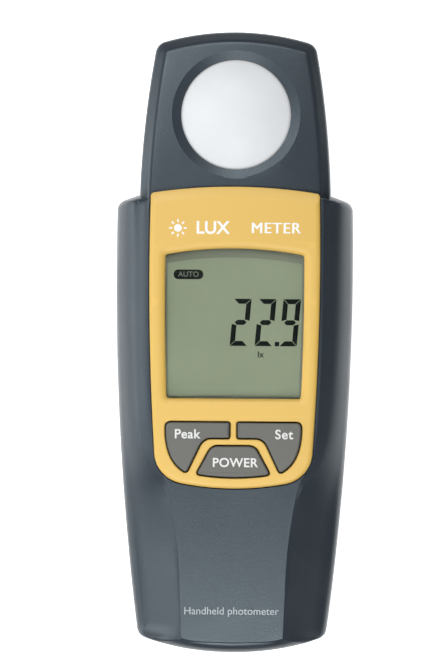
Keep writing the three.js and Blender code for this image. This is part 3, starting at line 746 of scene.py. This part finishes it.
rear = combine(back_shape(BODY, "case_rear"), [back_shape(HEAD, "head_rear")], "UNION")
combine(rear, [back_shape(f, name, REAR_WALL, REAR_FLOOR, 20)
               for f, name in ((BODY, "hollow_body"), (HEAD, "hollow_head"))])
combine(rear, [
    block("door_opening", -DOOR_HALF - GAP, DOOR_HALF + GAP, -90, door_high.y + GAP, BELOW, 1.9),
    block("door_end_opening", -BAY_HALF, BAY_HALF, -90, BAY_LOW - 1, BELOW, door_high.z + GAP),
    block("rail_way", -BAY_HALF, BAY_HALF, -77, -72, 1.8, RAIL_WAY_TOP),
    block("label_recess", -17.3, 17.3, -10.3, 20.3, BELOW, 0.8),
])
for name in (n for n in nodes if n.startswith("case_screw")):
    low, high = (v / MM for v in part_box(name))
    x, y = (low.x + high.x) / 2, (low.y + high.y) / 2
    boss = rod("boss", x, y, BOSS_RADIUS, 1, rear_top - 0.01)
    combine(boss, [back_shape(HEAD if y > 0 else BODY, "trim", 0.15, 0, 30)], "INTERSECT")
    combine(rear, [boss], "UNION")
    combine(rear, [rod("head_well", x, y, WELL_RADIUS, BELOW, 7), rod("shank_hole", x, y, SHANK_RADIUS, 6, 20)])
smooth(rear, 28)
place(rear, "case", CASE, "case_plastic", "rear_case")

bay = block("battery_bay", -BAY_HALF - BAY_WALL, BAY_HALF + BAY_WALL, BAY_LOW - 1, BAY_HIGH + 1, 1.7, BAY_TOP)
combine(bay, [back_shape(BODY, "bay_trim", 2.55, 0, BAY_TOP)], "INTERSECT")
combine(bay, [
    block("bay_room", -BAY_HALF, BAY_HALF, BAY_LOW, BAY_HIGH, BELOW, BAY_ROOM_TOP),
    block("bay_rail_way", -BAY_HALF, BAY_HALF, BAY_LOW - 2, BAY_LOW + 1, BELOW, RAIL_WAY_TOP),
    block("lead_slot", -12.1, -9.7, BAY_HIGH - 2, BAY_HIGH + 2, 10.4, 20),
    block("lead_slot", BAY_HALF - 2.4, BAY_HALF, BAY_HIGH - 2, BAY_HIGH + 2, 10.4, 20),
])
smooth(bay, 28)
place(bay, "case", CASE, "case_plastic")

# ------------------------------------------------------------------ battery door
WEB_INNER, RAIL_OUTER = 15.3, 18.4
RAIL_LOW_Y, RAIL_HIGH_Y, RAIL_TOP = -73.4, -33, 3.2
GROOVES, GROOVE_PITCH = 5, 2.2
plate = combine(back_shape(BODY, "battery_door_panel", 0, 0, door_high.z),
                [block("door_strip", -18.5, 18.5, -90, door_high.y, BELOW, 30)], "INTERSECT")
combine(plate, [
    back_shape(BODY, "door_inside", 2.2, 1.6, 30),
    block("door_side", DOOR_HALF, 30, -77.2, 0, BELOW, 30),
    block("door_side", -30, -DOOR_HALF, -77.2, 0, BELOW, 30),
])
for side in (-1, 1):
    web = sorted((side * WEB_INNER, side * DOOR_HALF))
    rail = sorted((side * WEB_INNER, side * RAIL_OUTER))
    combine(plate, [block("web", *web, RAIL_LOW_Y, RAIL_HIGH_Y, 1.2, RAIL_TOP),
                    block("rail", *rail, RAIL_LOW_Y, RAIL_HIGH_Y, 2.1, RAIL_TOP)], "UNION")
combine(plate, [block("grip_groove", -7, 7, -38.5 - GROOVE_PITCH * i, -37.5 - GROOVE_PITCH * i, BELOW, 0.5)
                for i in range(GROOVES)])
smooth(plate, 28)
place(plate, "door", CASE, "case_plastic", "battery_door")

# ------------------------------------------------------------------ faceplate, window, keys


def soft_key(name, points, low, high, edge, steps=7):
    """Key cap with straight sides and a rounded upper edge."""
    rings = [at_height(points, low)]
    for i in range(steps + 1):
        a = math.pi / 2 * i / steps
        rings.append(at_height(offset(points, -edge * (1 - math.cos(a))), high - edge + edge * math.sin(a)))
    return smooth(loft(name, rings), 20)


BROW_START, BROW_BLEND = 33, 4
# height, inset and drop of the top end for each ring round the faceplate's edge
BEZEL_ROUND = [(23, -0.1, 0), (24.6, -0.1, 0), (24.72, -0.1, 0.2), (24.95, 0.05, 0.75), (25.15, 0.25, 1.2),
               (25.29, 0.55, 1.45), (25.37, 0.95, 1.6), (25.42, 1.5, 1.7)]
# height and inset of each ring round the window
WINDOW_SLOPE = [(24.3, 0.05), (24.55, -0.05), (24.8, -0.25), (25.05, -0.6), (25.23, -1.0), (25.35, -1.5),
                (25.41, -2.0)]


def brow(inset, drop):
    """Faceplate outline whose top end is pulled down by this much."""
    return [(x, y - drop * min(1, max(0, (y - BROW_START) / BROW_BLEND))) for x, y in outline(BEZEL, inset)]


holes = [offset(points, GAP)[::-1] for points in KEYS.values()]
bezel = soft_plate("faceplate", [outline(BEZEL), outline(WINDOW)[::-1], *holes], BEZEL_LOW, BEZEL_TOP,
                   0.4, 5)
combine(bezel, [loft("bezel_round", [at_height(brow(i, drop), z) for z, i, drop in BEZEL_ROUND])], "INTERSECT")
combine(bezel, [loft("window_slope", [at_height(outline(WINDOW, i), z) for z, i in WINDOW_SLOPE])])
smooth(bezel, 40)
place(bezel, "case", AMBER, "amber_faceplate", "front_bezel")

window = soft_plate("display_lens", [outline(WINDOW, -1.6)], level("display_window", 0), RECESS_FLOOR, 0.1)
place(window, "case", CLEAR, "clear_window", "display_window")

for name, points in KEYS.items():
    cap = soft_key(name + "_cap", offset(points, -0.05), level(name, 0) + 3, KEY_TOP, 0.45)
    foot = soft_plate(name + "_foot", [offset(points, KEY_FLANGE)], level(name, 0), KEY_FLANGE_TOP, 0.15)
    place(cap, KEY_BODY[name], KEY, "key_plastic", name)
    place(foot, KEY_BODY[name], KEY, "key_plastic")

# ------------------------------------------------------------------ diffuser
CAP_STEPS = 28
INNER_SHARE, INNER_DROP = 0.86, 2  # the hollow side of the dome, against its outside
height = DOME_TOP - DISH_FLOOR + 0.1
sphere = (DOME_RADIUS ** 2 + height ** 2) / (2 * height)
rim = math.asin((DOME_RADIUS - 0.35) / sphere)
cap_profile = [(sphere * math.sin(rim * i / CAP_STEPS),
                DOME_TOP - sphere + sphere * math.cos(rim * i / CAP_STEPS)) for i in range(CAP_STEPS + 1)]
rim_z = cap_profile[-1][1]
skirt = DOME_RADIUS - 0.08
profile = cap_profile + [
    (DOME_RADIUS - 0.2, rim_z - 0.25), (skirt, rim_z - 0.6), (skirt, FLANGE_TOP), (FLANGE_RADIUS, FLANGE_TOP),
    (FLANGE_RADIUS, FLANGE_LOW), (12.2, FLANGE_LOW)]
profile += [(r * INNER_SHARE, z - INNER_DROP) for r, z in reversed(cap_profile)]
dome = smooth(lathe("diffuser_dome", profile, DOME_Y), 40)
place(dome, "case", DIFFUSER, "diffuser", "sensor_dome")

# ------------------------------------------------------------------ display
lcd_low, lcd_high = (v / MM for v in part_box("lcd_glass"))
lcd_corners = [(lcd_low.x, lcd_low.y), (lcd_high.x, lcd_low.y), (lcd_high.x, lcd_high.y),
               (lcd_low.x, lcd_high.y)]
glass = soft_plate("display_panel", [lcd_corners], lcd_low.z, lcd_high.z, 0.08, 2)
place(glass, "case", LCD, "display_glass", "lcd_glass")

SHADOW_BAND = 1.7  # depth of the painted shadow along the display's upper edge, where the faceplate shades it
# painted shadow: a dark sheet just above the display, 0.6 mm wide inside the window's edge and widest under its
# upper edge
inner_edge = [(x, y - (SHADOW_BAND if y > 0 else 0)) for x, y in outline(WINDOW, 0.6)]
shade_sheet = soft_plate("display_painted_shadow", [outline(WINDOW, -1.2), inner_edge[::-1]],
                    LCD_TOP + 0.08, LCD_TOP + 0.2, 0.02, 1)
place(shade_sheet, "case", LCD_PAINTED_SHADOW, "clear_window")

INK_LOW = LCD_TOP + 0.01
INK_HIGH = LCD_TOP + 0.04
DIGIT_HEIGHT = 12.3
DIGIT_WIDTH = 4.6
SEGMENT = 1.3
SLANT = math.tan(math.radians(5))
SEGMENT_GAP = 0.09
FIGURE_Y = -0.95
FIGURE_X = (-1.2, 5.3, 11.7)
POINT_X, POINT_SIDE = 10.55, 1.13
SHOWN = {"2": "abged", "9": "abcdfg"}  # the lit segments of each figure


def segment_points(which):
    """Outline of one segment of an upright digit whose lower left corner is the origin."""
    w, h, t, g = DIGIT_WIDTH, DIGIT_HEIGHT, SEGMENT, SEGMENT_GAP
    mid = h / 2
    if which == "a":
        return [(g, h), (w - g, h), (w - t - g, h - t), (t + g, h - t)]
    if which == "d":
        return [(g, 0), (t + g, t), (w - t - g, t), (w - g, 0)]
    if which == "g":
        return [(g + t / 2, mid), (t + g, mid + t / 2), (w - t - g, mid + t / 2), (w - g - t / 2, mid),
                (w - t - g, mid - t / 2), (t + g, mid - t / 2)]
    left = [(0, mid + g + t / 4), (0, h - g), (t, h - t - g), (t, mid + t / 2 + g)]
    if which in "ce":
        left = [(x, h - y) for x, y in left]
    if which in "bc":
        left = [(w - x, y) for x, y in left]
    return left


def ink(name, loops, material, slot, low=INK_LOW, high=INK_HIGH):
    """Thin printed shape made of flat loops."""
    points, faces = [], []
    for loop in loops:
        loop = anticlockwise(loop)
        n = len(loop)
        base = len(points)
        points += at_height(loop, low) + at_height(loop, high)
        faces += [[base + i for i in reversed(range(n))], [base + n + i for i in range(n)]]
        faces += [[base + i, base + (i + 1) % n, base + n + (i + 1) % n, base + n + i] for i in range(n)]
    return place(mesh_from(name, points, faces), "case", material, slot)


def slanted(points, x):
    """Moves upright points to x on the line of figures and leans them over."""
    return [(x + px + py * SLANT, FIGURE_Y + py) for px, py in points]


loops = []
for x, digit in zip(FIGURE_X, "229"):
    loops += [slanted(segment_points(s), x) for s in SHOWN[digit]]
loops.append(slanted([(0, 0), (POINT_SIDE, 0), (POINT_SIDE, POINT_SIDE), (0, POINT_SIDE)], POINT_X))
ink("display_figures", loops, LCD_INK, "display_glass")


def rounded(x0, x1, y0, y1, r, steps=6):
    """Rectangle with round corners."""
    out = []
    for cx, cy, start in ((x1 - r, y1 - r, 0), (x0 + r, y1 - r, 90), (x0 + r, y0 + r, 180),
                          (x1 - r, y0 + r, 270)):
        out += arc((cx, cy, r), math.radians(start), math.radians(start + 90), steps)
    return out


ink("display_hold_tab", [rounded(-15.95, -8.2, 16.35, 18.85, 1.2)], LCD_INK, "display_glass")


CAPITAL_SHARE = 0.7  # height of a capital letter in a font of size 1


def lettering(name, text, x, y, size, z, material, slot, body="case", bold=0.0, spacing=1.0, double=0.0):
    """Thin raised print, centred on x, y. size is the height of a capital letter.

    bold thickens the strokes; double does it with a second copy this far to the right, for letters whose
    narrow corners bold would fill badly.
    """
    font = bpy.data.curves.new(name, "FONT")
    font.body = text
    font.size = size / CAPITAL_SHARE * MM
    font.align_x = "CENTER"
    font.align_y = "CENTER"
    font.offset = bold * MM
    font.space_character = spacing
    font.extrude = 0.01 * MM
    holder = new_object(name + "_curve", font)
    graph = bpy.context.evaluated_depsgraph_get()
    mesh = bpy.data.meshes.new_from_object(holder.evaluated_get(graph))
    bpy.data.objects.remove(holder)
    mesh.name = name
    mesh.transform(Matrix.Translation(((x - double / 2) * MM, y * MM, z * MM)))
    if double:
        bm = bmesh.new()
        bm.from_mesh(mesh)
        mesh.transform(Matrix.Translation((double * MM, 0, 0.002 * MM)))
        bm.from_mesh(mesh)
        bm.to_mesh(mesh)
        bm.free()
    return place(new_object(name, mesh), body, material, slot)


KEY_PRINT = KEY_TOP + 0.01
PLATE_PRINT = BEZEL_TOP + 0.01
PLATE_Y = 29.65
SUN_X, SUN_DISC, SUN_RAYS = -14.9, 1.0, 8
RAY_INNER, RAY_OUTER, RAY_HALF = 1.5, 2.3, 0.2
lettering("display_hold", "AUTO", -12.05, 17.6, 1.35, INK_HIGH + 0.015, LCD_CLEAR, "display_glass", bold=0.03)
lettering("display_unit", "lx", 6.9, -3.2, 1.6, INK_HIGH, LCD_INK, "display_glass", bold=0.03)
for name, text, x, y, size, body, spacing in (
        ("legend_unit", "Peak", -12.1, -24.05, 2.35, "unit_button", 1.06),
        ("legend_func", "Set", 13.15, -24.05, 2.4, "func_button", 1.1),
        ("legend_power", "POWER", 0.45, -31.45, 2.3, "power_button", 1.06)):
    lettering(name, text, x, y, size, KEY_PRINT, KEY_INK, "key_plastic", body, 0.06, spacing)
lettering("grip_legend", "Handheld photometer", -0.2, -70.1, 1.92, FACE_Z + 0.01, GREY_INK, "case_plastic")
lettering("plate_legend_left", "LUX", -5.9, PLATE_Y, 3.2, PLATE_PRINT, WHITE, "amber_faceplate", bold=0.1)
lettering("plate_legend_right", "METER", 10.6, PLATE_Y, 2.8, PLATE_PRINT, WHITE, "amber_faceplate",
          spacing=1.12, double=0.2)
sun = [arc((SUN_X, PLATE_Y, SUN_DISC), 0, 2 * math.pi, 24)[:-1]]
for k in range(SUN_RAYS):
    a = 2 * math.pi * k / SUN_RAYS
    c, s = math.cos(a), math.sin(a)
    sun.append([(SUN_X + c * r - s * w, PLATE_Y + s * r + c * w)
                for r, w in ((RAY_INNER, -RAY_HALF), (RAY_OUTER, -RAY_HALF), (RAY_OUTER, RAY_HALF),
                             (RAY_INNER, RAY_HALF))])
ink("plate_sun_mark", sun, WHITE, "amber_faceplate", BEZEL_TOP, BEZEL_TOP + 0.02)

# ------------------------------------------------------------------ the pieces that keep their CAD shape
STEEL = metal("steel_can", linear(190, 192, 195), 0.28)
ZINC = metal("zinc_screw", linear(196, 198, 200), 0.35, (1, 1, 6))
SPRING = metal("contact_spring", linear(205, 204, 200), 0.25)
BOARD = moulded("circuit_board", linear(38, 96, 66), 0.35, grain=700, depth=0.00001, spread=0.1)
SILICONE = moulded("silicone", linear(150, 152, 153), 0.6)
EPOXY = moulded("chip_epoxy", linear(34, 34, 36), 0.5)
# material of each kept CAD node, by the start of its name
KEEP = {
    "case_screw": ZINC, "board_screw": ZINC, "sensor_screw": ZINC, "battery_contact": SPRING,
    "photodiode": STEEL, "quartz_crystal": STEEL, "sensor_holder": BLACK, "lcd_frame": BLACK,
    "sensor_board": BOARD, "main_board": BOARD, "zebra_strip": SILICONE, "keypad_mat": SILICONE,
    "controller_chip": EPOXY, "amplifier_chip": EPOXY,
    "battery_cell": moulded("cell_sleeve", linear(54, 72, 118), 0.3, grain=900, depth=0.000005, spread=0.05),
    "battery_lead_red": moulded("red_insulation", linear(166, 44, 36), 0.35, depth=0.000005),
    "battery_lead_black": moulded("black_insulation", linear(32, 32, 34), 0.35, depth=0.000005),
    "sensor_ribbon": moulded("flat_cable", linear(216, 210, 192), 0.4, depth=0.000005),
    "photopic_filter": moulded("green_filter", linear(84, 128, 100), 0.1, depth=0.000002),
    "dome_seal": moulded("black_rubber", linear(28, 28, 30), 0.7),
    "contact_pill": moulded("carbon", linear(26, 26, 26), 0.8),
    "smoothing_capacitor": moulded("capacitor_sleeve", linear(30, 32, 42), 0.3, depth=0.000004),
    "calibration_trimmer": moulded("trimmer_blue", linear(44, 92, 165), 0.35, depth=0.000005),
    "rear_label": moulded("label_stock", linear(203, 205, 207), 0.4, grain=1500, depth=0.000004, spread=0.015),
}
for name, node in nodes.items():
    for start, material in KEEP.items():
        if name.startswith(start):
            if node.material_slots:
                for own in node.material_slots:
                    own.material = material
            else:
                node.data.materials.append(material)

# ------------------------------------------------------------------ floor, light and camera
FLOOR_HALF, FLOOR_Z = 900, -0.5
GLOW_NEAR, GLOW_FAR = 0.11, 0.17  # metres from the middle between which the floor's glow fades out


def grey(value):
    return (value, value, value, 1)


floor_surface = Surface("pale_floor", 0.8, 0, 0.2)
floor_cloud = floor_surface.noise(8, 2)
floor_surface.colour(floor_surface.ramp(floor_cloud, [(0.3, grey(0.88)), (0.7, grey(0.9))]))
distance = floor_surface.tree.nodes.new("ShaderNodeVectorMath")
distance.operation = "LENGTH"
floor_surface.tree.links.new(floor_surface.place, distance.inputs[0])
glow = floor_surface.ramp(distance.outputs["Value"], [(GLOW_NEAR, grey(0.95)), (GLOW_FAR, grey(0.02))])
floor_surface.tree.links.new(glow, floor_surface.shader.inputs["Emission Color"])
floor_surface.shader.inputs["Emission Strength"].default_value = 1
floor = mesh_from("floor", [(-FLOOR_HALF, -FLOOR_HALF, FLOOR_Z), (FLOOR_HALF, -FLOOR_HALF, FLOOR_Z),
                            (FLOOR_HALF, FLOOR_HALF, FLOOR_Z), (-FLOOR_HALF, FLOOR_HALF, FLOOR_Z)],
                  [[0, 1, 2, 3]])
floor.data.materials.append(floor_surface.material)
floor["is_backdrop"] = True

world = bpy.data.worlds.new("soft_room")
bpy.context.scene.world = world
world.use_nodes = True
world.node_tree.nodes["Background"].inputs["Color"].default_value = (1, 1, 1, 1)
world.node_tree.nodes["Background"].inputs["Strength"].default_value = 0.07
bpy.context.scene.view_settings.view_transform = "Standard"

# name, position, side length and power of each square soft light; all aim at the middle of the body
PANELS = [
    ("left_panel", (-110, 110, 320), 120, 0.38),
    ("top_panel", (-20, 270, 400), 150, 0.8),
    ("lower_panel", (-10, -150, 270), 130, 0.62),
    ("side_panel", (-600, 10, 100), 300, 1.45),
    ("foot_panel", (-60, -500, 400), 300, 0.15),
    ("shoulder_panel", (-350, -160, 330), 250, 0.25),
]
AIM = Vector((0, 0, 15 * MM))
for name, position, size, watts in PANELS:
    light = bpy.data.lights.new(name, "AREA")
    light.size = size * MM
    light.energy = watts
    lamp = bpy.data.objects.new(name, light)
    bpy.context.collection.objects.link(lamp)
    lamp.location = Vector(position) * MM
    lamp.rotation_euler = (AIM - lamp.location).to_track_quat("-Z", "Y").to_euler()

CAMERA_HEIGHT = 1500
SENSOR_WIDTH = 36
FRAME_HEIGHT = 672  # pixels
PIXEL = 0.2627  # millimetres to a pixel at the parting line
CAMERA_SHIFT = Vector((-2.8, 1.6)) * MM
CAMERA_TURN = 0.0083
camera_data = bpy.data.cameras.new("camera")
camera_data.sensor_width = SENSOR_WIDTH
camera_data.lens = SENSOR_WIDTH * (CAMERA_HEIGHT - PARTING_Z) / (FRAME_HEIGHT * PIXEL)
camera_data.clip_end = 10
camera = bpy.data.objects.new("camera", camera_data)
bpy.context.collection.objects.link(camera)
middle = (cad_low + cad_high) / 2
camera.location = (middle.x + CAMERA_SHIFT.x, middle.y + CAMERA_SHIFT.y, CAMERA_HEIGHT * MM)
camera.rotation_euler = (0, 0, CAMERA_TURN)
bpy.context.scene.camera = camera

low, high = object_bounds()
